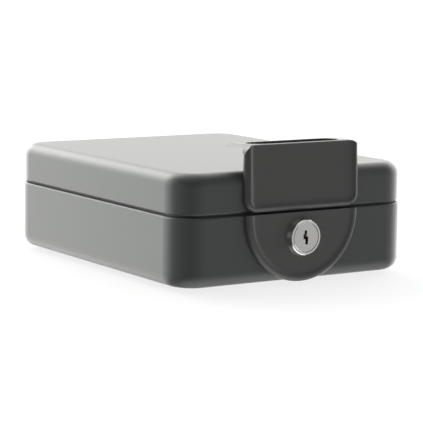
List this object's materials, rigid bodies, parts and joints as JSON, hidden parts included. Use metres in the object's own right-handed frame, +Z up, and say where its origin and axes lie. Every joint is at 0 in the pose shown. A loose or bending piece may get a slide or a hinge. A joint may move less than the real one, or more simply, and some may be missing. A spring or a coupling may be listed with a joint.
{
  "type": "cash box",
  "caption": "Compact steel cash box with a hinged lid, a front lift grip, a half-round plate with a key lock, and a lift-out coin tray.",
  "frame": {"origin": "centre of the overall footprint, on the surface that the feet stand on", "axes": "+Z up, -Y out of the front where the lock and the grip are, +X to the right as the front is seen, +Y to the hinges"},
  "size_m": [0.16, 0.21, 0.0812],
  "materials": {
    "box_coat": "satin charcoal powder coat on steel sheet, fine texture",
    "trim_coat": "smooth satin charcoal paint on a zinc casting",
    "hinge_coat": "satin charcoal paint over steel hinge leaves and rivets",
    "lock_chrome": "bright chrome plate",
    "plug_face": "satin chrome with a fine turned grain",
    "wafer_brass": "bare stamped brass",
    "zinc_hardware": "bright zinc plate",
    "pin_steel": "drawn steel wire",
    "foot_rubber": "moulded black rubber",
    "tray_plastic": "moulded polystyrene with a fine grain"
  },
  "bodies": {
    "tub": {"base_tub": "box_coat", "foot_front_left": "foot_rubber", "foot_front_right": "foot_rubber", "foot_rear_left": "foot_rubber", "foot_rear_right": "foot_rubber", "lock_plate": "trim_coat", "plate_screws": "zinc_hardware", "lock_housing": "lock_chrome", "lock_washer": "zinc_hardware", "lock_nut": "zinc_hardware", "base_leaf_left": "hinge_coat", "base_leaf_right": "hinge_coat", "hinge_pin_left": "pin_steel", "hinge_pin_right": "pin_steel", "base_hinge_rivets": "hinge_coat", "tray_rest_left": "box_coat", "tray_rest_right": "box_coat"},
    "lid": {"lid_shell": "box_coat", "lid_lip": "box_coat", "lift_grip": "trim_coat", "grip_screws": "zinc_hardware", "lid_strike": "zinc_hardware", "lid_leaf_left": "hinge_coat", "lid_leaf_right": "hinge_coat", "lid_hinge_rivets": "hinge_coat"},
    "plug": {"lock_plug": "plug_face", "lock_wafers": "wafer_brass", "lock_cam": "zinc_hardware", "cam_washer": "zinc_hardware", "cam_screw": "zinc_hardware"},
    "tray": {"coin_tray": "tray_plastic"}
  },
  "joints": [
    {"name": "lid_hinge", "type": "hinge", "parent": "tub", "child": "lid", "pos_m": [0, 0.1024, 0.0425], "axis": [-1, 0, 0], "range_deg": [0, 105]},
    {"name": "plug_turn", "type": "hinge", "parent": "tub", "child": "plug", "pos_m": [0, -0.099, 0.0277], "axis": [0, 1, 0], "range_deg": [0, 90]},
    {"name": "tray_lift", "type": "slide", "parent": "tub", "child": "tray", "axis": [0, 0, 1], "range_m": [0, 0.015]}
  ]
}
